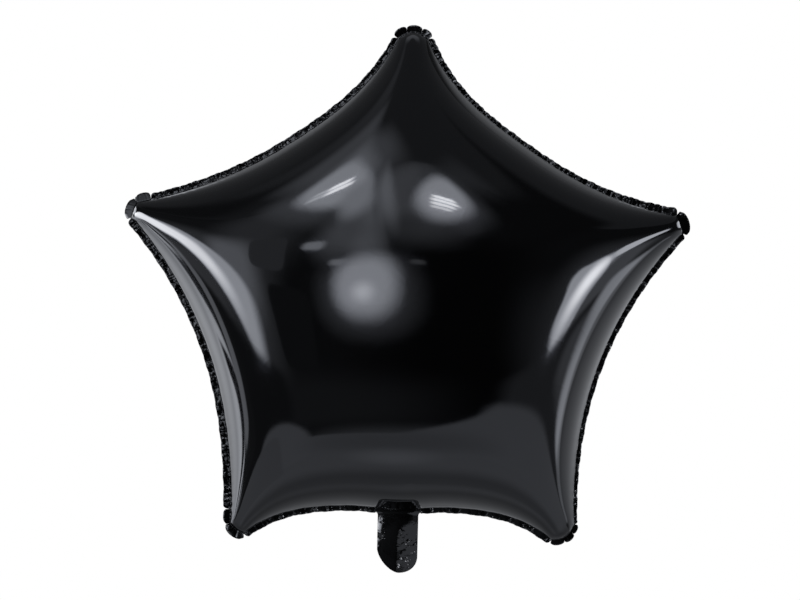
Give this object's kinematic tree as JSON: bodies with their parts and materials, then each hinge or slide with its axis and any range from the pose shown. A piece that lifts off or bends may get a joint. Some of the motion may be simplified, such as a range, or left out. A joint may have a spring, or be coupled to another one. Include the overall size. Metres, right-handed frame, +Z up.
{
  "type": "star foil balloon",
  "caption": "Inflated star balloon in dark mirror film, sealed along a narrow gathered border, with small lobes at its tips and a flat filling tail for a ribbon",
  "frame": {"origin": "on the flat filling tail, 30 mm below the bottom seam, where a ribbon is tied", "axes": "+Z up to the top arm, -Y out of the front panel, +X to the right as the front is seen; the film's middle plane is the XZ plane"},
  "size_m": [0.4806, 0.1962, 0.4658],
  "materials": {
    "film": "mirror gloss metallised film, near-black"
  },
  "bodies": {
    "root": {"star_balloon": "film"}
  },
  "joints": []
}
